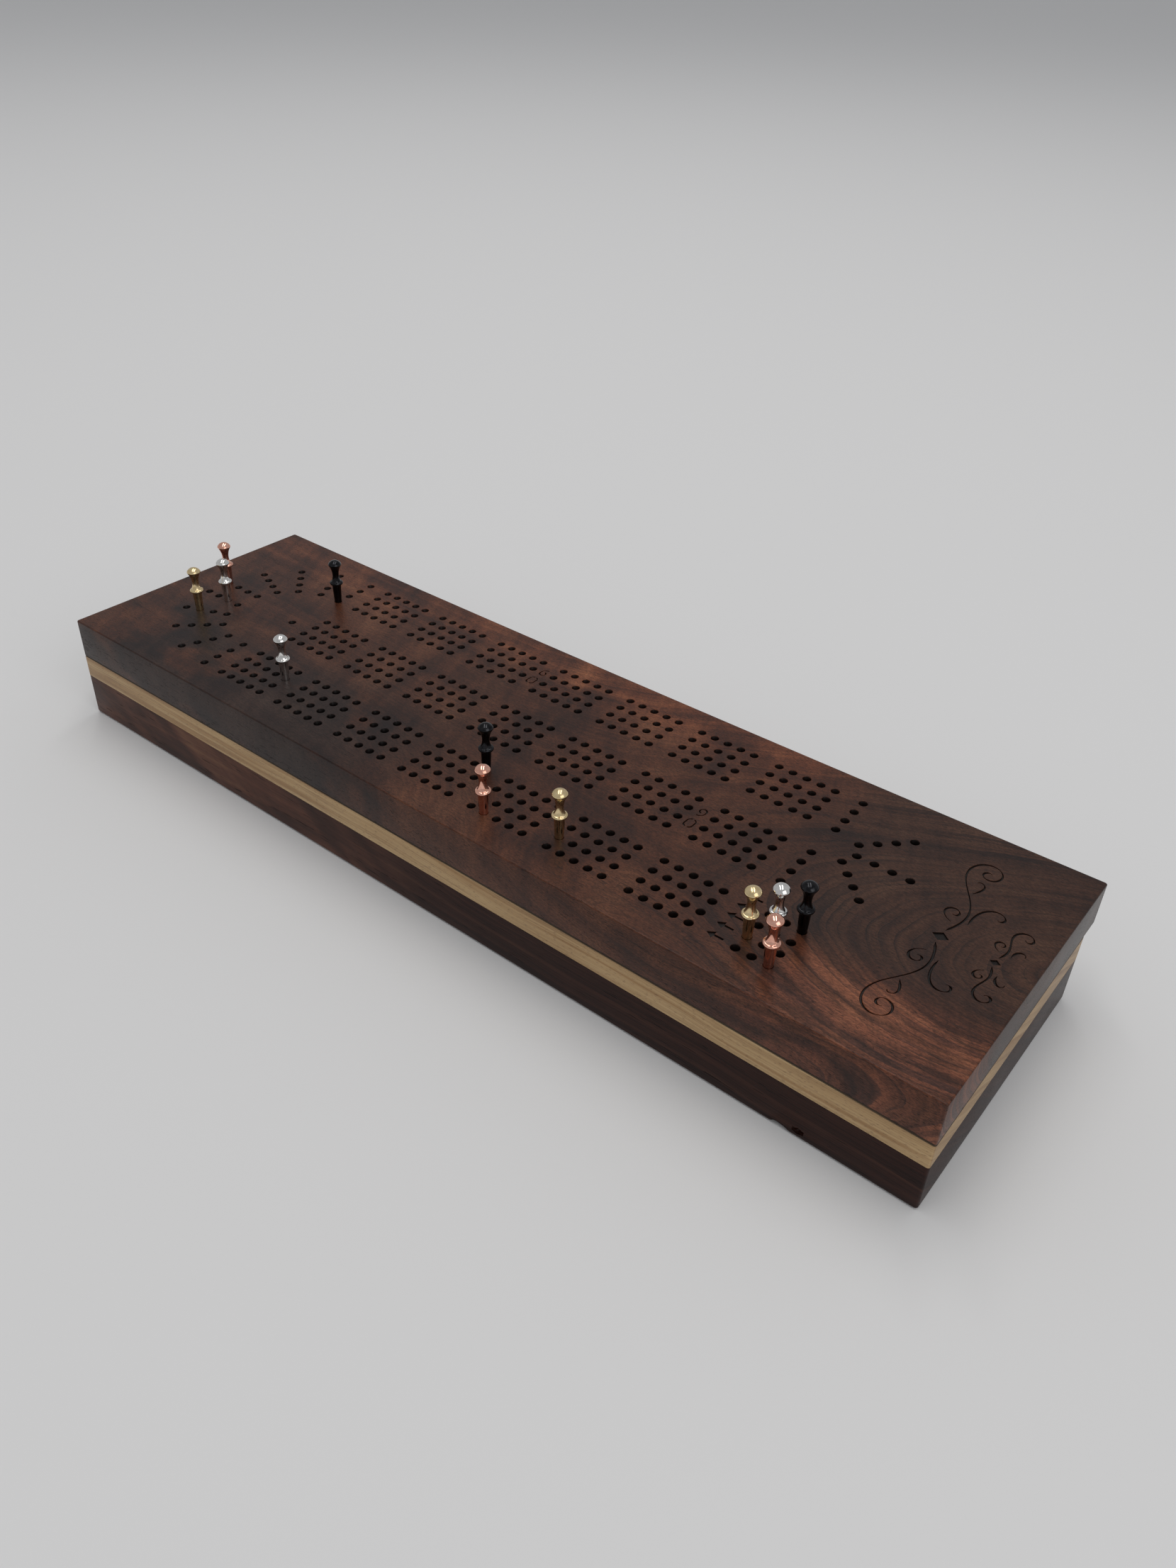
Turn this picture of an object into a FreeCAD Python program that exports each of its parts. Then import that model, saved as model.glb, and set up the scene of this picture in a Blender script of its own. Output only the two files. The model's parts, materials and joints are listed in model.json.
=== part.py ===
"""Cribbage board with a lift-off lid, a storage box under it and twelve metal pegs.

Frame: origin at the centre of the footprint on the surface the board stands on,
+X along the length, +Y from the front long side to the back one, +Z up.  Millimetres.
"""
import FreeCAD, Part
import math
import os

V = FreeCAD.Vector
UP = V(0, 0, 1)

# --- lid -------------------------------------------------------------------
LENGTH = 406.4
LID_WIDTH = 120.65
LID_THICK = 17.0
BACK_BOW = 1.4
EDGE_EASE = 0.5

# --- box: light band on a dark tray, set in under the back of the lid --------
LIP = 9.0
BAND_THICK = 10.0
TRAY_THICK = 19.0
TRAY_FLOOR = 6.0
FOOT_BEVEL = 1.2

# --- storage pockets: half length, half width, centre X, in the box ---------
CARD_HALF = (33.5, 46.0)
PEG_HALF = (52.0, 25.0)
CARD_X = 120.0
POCKET_CORNER = 6.0

# --- magnets that hold the lid down ----------------------------------------
MAGNET_R = 5.0
MAGNET_THICK = 3.0
MAGNET_PLAY = 0.1
MAGNET_X = 180.0
MAGNET_Y = 40.0

# --- peg holes -------------------------------------------------------------
HOLE_R = 1.6
HOLE_DEPTH = 12.0
PITCH = 5.90
TRACK = 6.586
TRACKS = 4
GROUP = 34.56
GROUPS = 7
PER_GROUP = 5
LEG = 5.5 * TRACK
FIRST_X = -122.24
COLUMN_GAP = 11.3
TURN_GAP = 4.55
SMALL_TURN_ANGLES = (-45.0, 0.0, 45.0)
BIG_TURN_RADIUS = LEG - 1.5 * TRACK
BIG_TURN_LINES = ((12.0, 0.0), (32.0, 22.5), (52.5, 45.0), (76.5, 67.5))
START_COLUMNS = 3
START_GAP = 6.1

LAST_X = FIRST_X + (GROUPS - 1) * GROUP + (PER_GROUP - 1) * PITCH
LEFT_COLUMN = FIRST_X - COLUMN_GAP
RIGHT_COLUMN = LAST_X + COLUMN_GAP
START_X = RIGHT_COLUMN + START_GAP

# --- peg: radius and height above the lid's top ------------------------------
PEG_TIP_Z = -9.5
PEG_MOUTH_R = 1.58
PEG_TAPER = 0.0455
SHANK_TOP_Z = 8.3
COLLAR_Z = 9.3
COLLAR_R = 2.88
COLLAR_HALF = 0.7
COLLAR_ROOT_R = 2.15
WAIST_R = 1.38
WAIST_Z = 13.0
RIM_R = 2.85
RIM_Z = 17.9
RIM_THICK = 0.35
PEG_TOP_Z = 20.0

# --- engraving -------------------------------------------------------------
CUT = 0.5
PEN_ANGLE = 55.0
PEN_STEP = 0.5
FLOURISH_PEN = (0.30, 0.95, 6)
DIGIT_PEN = (0.40, 0.75, 2)
BIG_ORNAMENT_X = 172.0
SMALL_ORNAMENT_X = 190.0
BIG_DIAMOND = 2.2
SMALL_DIAMOND = 1.4
DIAMOND_SLANT = 1.3
ARROW_X = 118.3
ARROW_FIRST_Y = -45.6
ARROW_STEP = 5.7
ARROWS = 5
MARK_60 = (FIRST_X + 2.5 * GROUP + 2.0 * PITCH, 36.2)
MARK_90 = (FIRST_X + 5.5 * GROUP + 2.0 * PITCH, 0.0)
DIGIT_STEP = 3.75

# A pen is (thinnest width, thickest width, points over which a stroke's ends fade).
# Each pen stroke: start, heading in degrees, then runs of (length, curvature in, curvature out).
BIG_STROKES = (
    ((3.5, 0.0), -24.0, ((11.0, 0.01, 0.08), (16.0, 0.08, -0.02), (14.0, -0.03, -0.15),
                         (16.0, -0.17, -0.29), (8.0, -0.31, -0.75))),
    ((10.5, -4.3), 4.0, ((9.0, -0.02, -0.10), (8.0, -0.14, -0.34), (4.5, -0.40, -0.95))),
    ((8.5, 0.6), 72.0, ((5.5, -0.10, -0.30), (6.5, -0.34, -0.50), (3.6, -0.55, -1.05))),
    ((25.6, 0.9), -30.0, ((4.2, 0.0, 0.14), (3.6, 0.24, 0.55), (2.0, 0.70, 1.20))),
)
SMALL_STROKES = (
    ((2.4, 0.0), -25.0, ((6.0, 0.05, 0.15), (7.0, 0.10, -0.17), (8.0, -0.21, -0.42),
                         (4.6, -0.46, -1.00))),
    ((5.2, -2.9), 4.0, ((3.6, -0.10, -0.35), (3.8, -0.45, -1.10))),
    ((5.4, 1.2), 66.0, ((3.6, -0.15, -0.45), (4.2, -0.50, -0.80), (2.0, -0.90, -1.50))),
)
SIX_STROKE = ((1.1, 2.2), 178.0, ((1.9, 0.30, 0.62), (2.6, 0.50, 0.10), (6.0, 0.74, 0.80)))
ZERO_STROKE = ((-0.28, 2.35), 180.0, ((2.1, 0.74, 0.74), (2.1, 0.0, 0.0), (2.1, 0.74, 0.74)))
ARROW = ((0.0, 3.1), (1.75, 0.4), (0.45, 0.4), (0.45, -3.1),
         (-0.45, -3.1), (-0.45, 0.4), (-1.75, 0.4))

# --- heights and the box's place ---------------------------------------------
BAND_Z = TRAY_THICK
LID_Z = BAND_Z + BAND_THICK
TOP_Z = LID_Z + LID_THICK
BOX_FRONT = -LID_WIDTH / 2
BOX_WIDTH = LID_WIDTH - LIP
BOX_MID_Y = BOX_FRONT + BOX_WIDTH / 2


def slab(x0, y0, z0, length, width, height):
    return Part.makeBox(length, width, height, V(x0, y0, z0))


def edges_at(shape, z):
    """Straight outline edges that lie flat at height z."""
    found = []
    for edge in shape.Edges:
        box = edge.BoundBox
        if abs(box.ZMin - z) < 1e-6 and abs(box.ZMax - z) < 1e-6:
            found.append(edge)
    return found


def upright_edges(shape):
    return [edge for edge in shape.Edges if edge.BoundBox.ZLength > 5.0]


def eased(shape, bottom, top, z_low, z_high):
    """Bevel the bottom and top outlines by the given amounts, then the upright corners."""
    if bottom:
        shape = shape.makeChamfer(bottom, edges_at(shape, z_low))
    if top:
        shape = shape.makeChamfer(top, edges_at(shape, z_high))
    return shape.makeChamfer(EDGE_EASE, upright_edges(shape))


# --- peg hole places ---------------------------------------------------------
def track_offset(track):
    """Distance of a track from the middle of its leg; track 0 is the outermost."""
    return (track - (TRACKS - 1) / 2) * TRACK


def leg_columns():
    xs = []
    for group in range(GROUPS):
        for place in range(PER_GROUP):
            xs.append(FIRST_X + group * GROUP + place * PITCH)
    return xs


def column(x, leg_y):
    return [(x, leg_y + track_offset(track)) for track in range(TRACKS)]


def big_turn_hole(line, side, track):
    """Hole on a line of the left-hand turn: line 0 is nearest the middle, track 0 outermost."""
    at, lean = BIG_TURN_LINES[line]
    out = (TRACKS - 1 - track) * TRACK
    x = LEFT_COLUMN - TURN_GAP - BIG_TURN_RADIUS * math.cos(math.radians(at))
    y = BIG_TURN_RADIUS * math.sin(math.radians(at))
    return (x - out * math.cos(math.radians(lean)),
            side * (y + out * math.sin(math.radians(lean))))


def small_turn_hole(angle, track):
    radius = LEG / 2 + track_offset(track)
    x = RIGHT_COLUMN + TURN_GAP + radius * math.cos(math.radians(angle))
    return (x, LEG / 2 + radius * math.sin(math.radians(angle)))


def hole_places():
    places = []
    for leg_y in (-LEG, 0.0, LEG):
        for x in leg_columns():
            places += column(x, leg_y)
    places += column(LEFT_COLUMN, -LEG) + column(LEFT_COLUMN, LEG)
    places += column(RIGHT_COLUMN, 0.0) + column(RIGHT_COLUMN, LEG)
    for line in range(len(BIG_TURN_LINES)):
        for side in (-1, 1):
            places += [big_turn_hole(line, side, track) for track in range(TRACKS)]
    for angle in SMALL_TURN_ANGLES:
        places += [small_turn_hole(angle, track) for track in range(TRACKS)]
    for step in range(START_COLUMNS):
        places += column(START_X + step * PITCH, -LEG)
    places.append((LEFT_COLUMN, 0.0))
    return places


def near_leg_hole(group, place, track):
    return (FIRST_X + group * GROUP + place * PITCH, -LEG + track_offset(track))


def start_hole(step, track):
    return (START_X + step * PITCH, -LEG + track_offset(track))


def peg_places():
    """Three pegs of each colour: start block, first leg, left-hand turn."""
    return {
        "peg_copper_start": start_hole(2, 0),
        "peg_copper_leg": near_leg_hole(4, 1, 0),
        "peg_copper_turn": big_turn_hole(0, 1, 0),
        "peg_gold_start": start_hole(0, 1),
        "peg_gold_leg": near_leg_hole(5, 0, 1),
        "peg_gold_turn": big_turn_hole(1, -1, 1),
        "peg_silver_start": start_hole(1, 2),
        "peg_silver_leg": near_leg_hole(0, 4, 2),
        "peg_silver_turn": big_turn_hole(0, -1, 2),
        "peg_black_start": start_hole(2, 3),
        "peg_black_leg": near_leg_hole(3, 4, 3),
        "peg_black_turn": (LEFT_COLUMN, LEG - track_offset(3)),
    }


# --- engraved marks -----------------------------------------------------------
def pen_line(start, heading, runs):
    """Points (x, y, angle) along a stroke whose curvature changes evenly over each run."""
    x, y = start
    angle = math.radians(heading)
    points = [(x, y, angle)]
    for length, bend_in, bend_out in runs:
        count = max(2, round(length / PEN_STEP))
        step = length / count
        for i in range(count):
            bend = bend_in + (bend_out - bend_in) * (i + 0.5) / count
            angle += bend * step / 2
            x += step * math.cos(angle)
            y += step * math.sin(angle)
            angle += bend * step / 2
            points.append((x, y, angle))
    return points


def pen_width(i, count, angle, pen):
    """Width of a broad-nib stroke: it depends on the direction and fades at both ends."""
    thin, thick, fade_points = pen
    nib = abs(math.sin(angle - math.radians(PEN_ANGLE))) ** 1.5
    fade = min(1.0, (i + 1) / fade_points, (count - i) / fade_points)
    return max(thin * 0.8, (thin + (thick - thin) * nib) * fade)


def ribbon(points, pen):
    """Closed wire round a stroke: one smooth curve along each side and a straight cap at each end."""
    left = []
    right = []
    for i, (x, y, angle) in enumerate(points):
        half = pen_width(i, len(points), angle, pen) / 2
        side = V(-math.sin(angle) * half, math.cos(angle) * half, 0)
        left.append(V(x, y, 0) + side)
        right.append(V(x, y, 0) - side)
    curves = []
    for row in (left, right):
        curve = Part.BSplineCurve()
        curve.approximate(row, DegMax=3, Tolerance=0.01)
        curves.append(curve.toShape())
    ends = [[edge.valueAt(edge.FirstParameter), edge.valueAt(edge.LastParameter)] for edge in curves]
    caps = [Part.makeLine(ends[0][k], ends[1][k]) for k in (0, 1)]
    return Part.Wire(Part.__sortEdges__(curves + caps))


def placed(wire, centre, turned, mirrored=False, half_turn=False):
    """Lay a mark out at its centre; turned marks read along +Y with their tops towards -X."""
    matrix = FreeCAD.Matrix()
    if mirrored:
        matrix.scale(-1, 1, 1)
    if half_turn:
        matrix.rotateZ(math.pi)
    if turned:
        matrix.rotateZ(math.pi / 2)
    matrix.move(V(centre[0], centre[1], TOP_Z - CUT))
    return wire.transformGeometry(matrix)


def groove(wire):
    return Part.Face(wire).extrude(V(0, 0, 2 * CUT))


def ornament(strokes, centre_x, diamond):
    """A pen flourish, the same on both sides of a small diamond."""
    wires = []
    corners = ((diamond, 0), (0, diamond * DIAMOND_SLANT), (-diamond, 0), (0, -diamond * DIAMOND_SLANT))
    lozenge = Part.makePolygon([V(x, y, 0) for x, y in corners + corners[:1]])
    wires.append(placed(lozenge, (centre_x, 0), True))
    for start, heading, runs in strokes:
        outline = ribbon(pen_line(start, heading, runs), FLOURISH_PEN)
        for mirrored in (False, True):
            wires.append(placed(outline, (centre_x, 0), True, mirrored))
    return wires


def number(centre, first_turned_over):
    """Two figures, one above the other: a 6, or a 9 with it turned over, and a 0 of two halves."""
    x, y = centre
    six = ribbon(pen_line(*SIX_STROKE), DIGIT_PEN)
    half_zero = ribbon(pen_line(*ZERO_STROKE), DIGIT_PEN)
    wires = [placed(six, (x, y + DIGIT_STEP), False, False, first_turned_over)]
    for mirrored in (False, True):
        wires.append(placed(half_zero, (x, y - DIGIT_STEP), False, mirrored))
    return wires


def arrows():
    outline = Part.makePolygon([V(x, y, 0) for x, y in ARROW + ARROW[:1]])
    wires = []
    for i in range(ARROWS):
        wires.append(placed(outline, (ARROW_X, ARROW_FIRST_Y + i * ARROW_STEP), True))
    return wires


def engraving():
    wires = ornament(BIG_STROKES, BIG_ORNAMENT_X, BIG_DIAMOND)
    wires += ornament(SMALL_STROKES, SMALL_ORNAMENT_X, SMALL_DIAMOND)
    wires += number(MARK_60, False)
    wires += number(MARK_90, True)
    wires += arrows()
    return [groove(wire) for wire in wires]


# --- magnets ------------------------------------------------------------------
def magnet_centres():
    return [(sx * MAGNET_X, BOX_MID_Y + sy * MAGNET_Y) for sx in (-1, 1) for sy in (-1, 1)]


def magnet(x, y, z):
    disc = Part.makeCylinder(MAGNET_R, MAGNET_THICK, V(x, y, z))
    return disc.makeChamfer(0.2, [edge for edge in disc.Edges if edge.Closed])


def magnet_pocket(x, y, z):
    return Part.makeCylinder(MAGNET_R + MAGNET_PLAY, MAGNET_THICK + 2 * MAGNET_PLAY, V(x, y, z))


# --- wooden pieces --------------------------------------------------------------
def lid_blank():
    """The lid before drilling: a slab whose back edge bows in a little at the middle."""
    half_length = LENGTH / 2
    half_width = LID_WIDTH / 2
    front_left = V(-half_length, -half_width, LID_Z)
    front_right = V(half_length, -half_width, LID_Z)
    back_right = V(half_length, half_width, LID_Z)
    back_left = V(-half_length, half_width, LID_Z)
    back_middle = V(0, half_width - BACK_BOW, LID_Z)
    outline = [
        Part.makeLine(front_left, front_right),
        Part.makeLine(front_right, back_right),
        Part.Arc(back_right, back_middle, back_left).toShape(),
        Part.makeLine(back_left, front_left),
    ]
    blank = Part.Face(Part.Wire(outline)).extrude(V(0, 0, LID_THICK))
    return eased(blank, EDGE_EASE, EDGE_EASE, LID_Z, TOP_Z)


def lid_board():
    lid = lid_blank()
    cutters = []
    for x, y in hole_places():
        cutters.append(Part.makeCylinder(HOLE_R, HOLE_DEPTH + 1, V(x, y, TOP_Z - HOLE_DEPTH)))
    for x, y in magnet_centres():
        cutters.append(magnet_pocket(x, y, LID_Z))
    lid = lid.cut(Part.makeCompound(cutters))
    return lid.cut(Part.makeCompound(engraving()))


def rounded_pocket(x, half, z, height):
    length, width = half
    block = slab(x - length, BOX_MID_Y - width, z, 2 * length, 2 * width, height)
    return block.makeFillet(POCKET_CORNER, upright_edges(block))


def pockets(z, height):
    """Two card pockets at the ends and a peg pocket in the middle."""
    blocks = [rounded_pocket(side * CARD_X, CARD_HALF, z, height) for side in (-1, 1)]
    blocks.append(rounded_pocket(0.0, PEG_HALF, z, height))
    return Part.makeCompound(blocks)


def light_band():
    band = slab(-LENGTH / 2, BOX_FRONT, BAND_Z, LENGTH, BOX_WIDTH, BAND_THICK)
    band = eased(band, 0.0, EDGE_EASE, BAND_Z, LID_Z)
    band = band.cut(pockets(BAND_Z - 1, BAND_THICK + 2))
    seats = []
    for x, y in magnet_centres():
        seats.append(magnet_pocket(x, y, LID_Z - MAGNET_THICK - 2 * MAGNET_PLAY))
    return band.cut(Part.makeCompound(seats))


def base_tray():
    tray = slab(-LENGTH / 2, BOX_FRONT, 0.0, LENGTH, BOX_WIDTH, TRAY_THICK)
    tray = eased(tray, FOOT_BEVEL, 0.0, 0.0, TRAY_THICK)
    return tray.cut(pockets(TRAY_FLOOR, TRAY_THICK))


# --- pegs -------------------------------------------------------------------------
def shank_r(z):
    return PEG_MOUTH_R + PEG_TAPER * z


def waist_arc_middle(r_end, z_end):
    """Middle of the arc that leaves the waist upright and ends at (r_end, z_end)."""
    rise = z_end - WAIST_Z
    out = r_end - WAIST_R
    radius = (out * out + rise * rise) / (2 * out)
    half = math.asin(rise / radius) / 2
    return V(WAIST_R + radius * (1 - math.cos(half)), 0, WAIST_Z + radius * math.sin(half))


def dome_middle():
    """Middle of the arc over the head, upright at its rim's height plus the rim's thickness."""
    rim_z = RIM_Z + RIM_THICK
    rise = PEG_TOP_Z - rim_z
    radius = (RIM_R * RIM_R + rise * rise) / (2 * rise)
    half = math.asin(RIM_R / radius) / 2
    return V(radius * math.sin(half), 0, PEG_TOP_Z - radius * (1 - math.cos(half)))


def peg():
    """A turned peg, from its tip up: taper, collar, waisted neck, flared head, dome."""
    low = V(COLLAR_ROOT_R, 0, COLLAR_Z - COLLAR_HALF)
    high = V(COLLAR_ROOT_R, 0, COLLAR_Z + COLLAR_HALF)
    waist = V(WAIST_R, 0, WAIST_Z)
    flare = V(RIM_R, 0, RIM_Z)
    rim = V(RIM_R, 0, RIM_Z + RIM_THICK)
    crown = V(0, 0, PEG_TOP_Z)
    tip = V(0, 0, PEG_TIP_Z)
    start = V(shank_r(PEG_TIP_Z) - 0.3, 0, PEG_TIP_Z)
    shoulder = V(shank_r(PEG_TIP_Z), 0, PEG_TIP_Z + 0.3)
    shank_top = V(shank_r(SHANK_TOP_Z), 0, SHANK_TOP_Z)
    edges = [
        Part.makeLine(tip, start),
        Part.makeLine(start, shoulder),
        Part.makeLine(shoulder, shank_top),
        Part.makeLine(shank_top, low),
        Part.Arc(low, V(COLLAR_R, 0, COLLAR_Z), high).toShape(),
        Part.Arc(high, waist_arc_middle(high.x, high.z), waist).toShape(),
        Part.Arc(waist, waist_arc_middle(flare.x, flare.z), flare).toShape(),
        Part.makeLine(flare, rim),
        Part.Arc(rim, dome_middle(), crown).toShape(),
        Part.makeLine(crown, tip),
    ]
    return Part.Face(Part.Wire(edges)).revolve(V(0, 0, 0), UP, 360)


def save(name, shape):
    solids = shape.Solids
    solid = solids[0] if len(solids) == 1 else shape
    print(name, "solids", len(solids), "valid", solid.isValid(), "volume", round(solid.Volume, 1))
    solid.exportStep("parts/" + name + ".step")


def main():
    os.makedirs("parts", exist_ok=True)
    save("lid_board", lid_board())
    save("light_band", light_band())
    save("base_tray", base_tray())
    corners = ("left_front", "left_back", "right_front", "right_back")
    for corner, (x, y) in zip(corners, magnet_centres()):
        save("lid_magnet_" + corner, magnet(x, y, LID_Z + 2 * MAGNET_PLAY))
        save("box_magnet_" + corner, magnet(x, y, LID_Z - 2 * MAGNET_PLAY - MAGNET_THICK))
    turned = peg()
    for name, (x, y) in peg_places().items():
        save(name, turned.translated(V(x, y, TOP_Z)))
    print("holes", len(hole_places()))


main()
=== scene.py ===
"""Cribbage board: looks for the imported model.  Lengths are in millimetres until a mesh is made."""
import json
import math

import bmesh
import bpy
from mathutils import Matrix, Vector, noise
from mathutils.geometry import delaunay_2d_cdt

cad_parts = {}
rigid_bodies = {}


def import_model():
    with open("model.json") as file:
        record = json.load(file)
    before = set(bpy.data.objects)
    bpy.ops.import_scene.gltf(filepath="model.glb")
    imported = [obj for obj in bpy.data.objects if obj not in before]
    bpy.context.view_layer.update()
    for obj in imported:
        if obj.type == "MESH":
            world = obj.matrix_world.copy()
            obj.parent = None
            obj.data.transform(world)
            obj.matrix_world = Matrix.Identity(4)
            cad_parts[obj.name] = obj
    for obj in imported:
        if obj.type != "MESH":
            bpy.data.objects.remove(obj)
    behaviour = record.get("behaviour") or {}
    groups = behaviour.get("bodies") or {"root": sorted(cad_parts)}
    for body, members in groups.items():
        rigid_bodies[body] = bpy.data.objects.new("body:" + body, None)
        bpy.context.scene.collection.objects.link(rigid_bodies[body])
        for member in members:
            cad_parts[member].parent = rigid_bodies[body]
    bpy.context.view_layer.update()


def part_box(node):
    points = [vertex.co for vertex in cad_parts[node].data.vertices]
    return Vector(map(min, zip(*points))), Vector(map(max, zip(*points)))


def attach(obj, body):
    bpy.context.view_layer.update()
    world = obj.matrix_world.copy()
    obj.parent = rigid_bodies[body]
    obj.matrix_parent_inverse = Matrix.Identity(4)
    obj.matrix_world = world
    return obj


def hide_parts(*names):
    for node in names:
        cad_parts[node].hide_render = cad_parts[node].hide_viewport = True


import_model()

MM = 0.001


def box_mm(node):
    low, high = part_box(node)
    return low / MM, high / MM


# --- sizes read from the frame ------------------------------------------------------
LID_LOW, LID_HIGH = box_mm("lid_board")
BAND_LOW, BAND_HIGH = box_mm("light_band")
TRAY_LOW, TRAY_HIGH = box_mm("base_tray")
TOP_Z = LID_HIGH.z
HALF_LENGTH = LID_HIGH.x
HALF_WIDTH = LID_HIGH.y
BOX_MID_Y = (BAND_LOW.y + BAND_HIGH.y) / 2

# --- details of the wooden pieces -----------------------------------------------------
BACK_BOW = 1.4
CORNER_R = 0.9
LID_EASE = 0.55
JOINT_EASE = 0.45
FOOT_EASE = 1.1
TRAY_FLOOR = 6.0
CARD_HALF = (33.5, 46.0)
PEG_POCKET_HALF = (52.0, 25.0)
CARD_X = 120.0
POCKET_CORNER = 6.0
MAGNET_SEAT_R = 5.1
MAGNET_SEAT_DEPTH = 3.2
MAGNET_SEAT_EASE = 0.1
MAGNET_SEAT_SIDES = 40
GLUE_LINE_EASE = 0.12
BAND_POCKET_EASE = 0.4
TRAY_POCKET_EASE = 0.05
# Flaws in the tray's near face: (x, distance in from the face, height), half sizes, shape number.
KNOT = ((163.0, -0.2, 3.0), (2.1, 2.4, 1.25), 5.0)
CHIP = ((156.6, 0.4, 0.2), (3.6, 2.6, 1.5), 9.0)

# --- peg holes -------------------------------------------------------------------------
HOLE_R = 1.6
HOLE_DEPTH = 12.0
HOLE_EASE = 0.14
HOLE_SIDES = 28
PITCH = 5.90
TRACK = 6.586
TRACKS = 4
GROUP = 34.56
GROUPS = 7
PER_GROUP = 5
LEG = 5.5 * TRACK
FIRST_X = -122.24
COLUMN_GAP = 11.3
TURN_GAP = 4.55
SMALL_TURN_ANGLES = (-45.0, 0.0, 45.0)
BIG_TURN_RADIUS = LEG - 1.5 * TRACK
BIG_TURN_LINES = ((12.0, 0.0), (32.0, 22.5), (52.5, 45.0), (76.5, 67.5))
START_COLUMNS = 3
START_GAP = 6.1
LAST_X = FIRST_X + (GROUPS - 1) * GROUP + (PER_GROUP - 1) * PITCH
LEFT_COLUMN = FIRST_X - COLUMN_GAP
RIGHT_COLUMN = LAST_X + COLUMN_GAP
START_X = RIGHT_COLUMN + START_GAP

# --- engraving ----------------------------------------------------------------------------
CUT = 0.5
CUT_FLOOR = 0.55
PEN_ANGLE = 55.0
PEN_STEP = 0.4
FLOURISH_PEN = (0.30, 0.95, 6)
DIGIT_PEN = (0.40, 0.75, 2)
BIG_ORNAMENT_X = 172.0
SMALL_ORNAMENT_X = 190.0
BIG_DIAMOND = 2.2
SMALL_DIAMOND = 1.4
DIAMOND_SLANT = 1.3
ARROW_X = 118.3
ARROW_FIRST_Y = -45.6
ARROW_STEP = 5.7
ARROWS = 5
MARK_60 = (FIRST_X + 2.5 * GROUP + 2.0 * PITCH, 36.2)
MARK_90 = (FIRST_X + 5.5 * GROUP + 2.0 * PITCH, 0.0)
DIGIT_STEP = 3.75

# A pen is (thinnest width, thickest width, points over which a stroke's ends fade).
# Each pen stroke: start, heading in degrees, then runs of (length, curvature in, curvature out).
BIG_STROKES = (
    ((3.5, 0.0), -24.0, ((11.0, 0.01, 0.08), (16.0, 0.08, -0.02), (14.0, -0.03, -0.15),
                         (16.0, -0.17, -0.29), (8.0, -0.31, -0.75))),
    ((10.5, -4.3), 4.0, ((9.0, -0.02, -0.10), (8.0, -0.14, -0.34), (4.5, -0.40, -0.95))),
    ((8.5, 0.6), 72.0, ((5.5, -0.10, -0.30), (6.5, -0.34, -0.50), (3.6, -0.55, -1.05))),
    ((25.6, 0.9), -30.0, ((4.2, 0.0, 0.14), (3.6, 0.24, 0.55), (2.0, 0.70, 1.20))),
)
SMALL_STROKES = (
    ((2.4, 0.0), -25.0, ((6.0, 0.05, 0.15), (7.0, 0.10, -0.17), (8.0, -0.21, -0.42),
                         (4.6, -0.46, -1.00))),
    ((5.2, -2.9), 4.0, ((3.6, -0.10, -0.35), (3.8, -0.45, -1.10))),
    ((5.4, 1.2), 66.0, ((3.6, -0.15, -0.45), (4.2, -0.50, -0.80), (2.0, -0.90, -1.50))),
)
SIX_STROKE = ((1.1, 2.2), 178.0, ((1.9, 0.30, 0.62), (2.6, 0.50, 0.10), (6.0, 0.74, 0.80)))
ZERO_STROKE = ((-0.28, 2.35), 180.0, ((2.1, 0.74, 0.74), (2.1, 0.0, 0.0), (2.1, 0.74, 0.74)))
ARROW = ((0.0, 3.1), (1.75, 0.4), (0.45, 0.4), (0.45, -3.1),
         (-0.45, -3.1), (-0.45, 0.4), (-1.75, 0.4))

# --- pegs: radius and height above the lid's top ---------------------------------------------
PEG_SIDES = 56
PEG_TIP_Z = -9.5
PEG_MOUTH_R = 1.58
PEG_TAPER = 0.0455
SHANK_TOP_Z = 8.3
COLLAR_Z = 9.3
COLLAR_R = 2.88
COLLAR_HALF = 0.7
COLLAR_ROOT_R = 2.15
WAIST_R = 1.38
WAIST_Z = 13.0
RIM_R = 2.85
RIM_Z = 17.9
RIM_THICK = 0.35
TIP_EASE = 0.3
PEG_TOP_Z = 20.0
PEG_COLOURS = ("copper", "gold", "silver", "black")
PEG_PLACES = ("start", "leg", "turn")


# =============================== plan outlines ================================================
def arc_points(centre, radius, start, end, steps):
    """Points on an arc, angles in degrees, both ends included."""
    points = []
    for i in range(steps + 1):
        angle = math.radians(start + (end - start) * i / steps)
        points.append((centre[0] + radius * math.cos(angle), centre[1] + radius * math.sin(angle)))
    return points


def slab_outline(low, high, inset, corner, bow=0.0, side_steps=32, corner_steps=4):
    """Anticlockwise outline of a slab with rounded corners; its back edge may bow in."""
    radius = max(corner - inset, 0.05)
    reach = corner
    left, right = low.x + reach, high.x - reach
    front, back = low.y + reach, high.y - reach
    points = []
    points += arc_points((left, front), radius, 180, 270, corner_steps)
    points += [(left + (right - left) * i / side_steps, low.y + inset) for i in range(1, side_steps)]
    points += arc_points((right, front), radius, 270, 360, corner_steps)
    points += arc_points((right, back), radius, 0, 90, corner_steps)
    for i in range(1, side_steps):
        x = right + (left - right) * i / side_steps
        share = (x - (left + right) / 2) / ((right - left) / 2)
        points.append((x, high.y - inset - bow * (1 - share * share)))
    points += arc_points((left, back), radius, 90, 180, corner_steps)
    return points


def circle_outline(centre, radius, sides):
    return arc_points(centre, radius, 0, 360 - 360 / sides, sides - 1)


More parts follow.
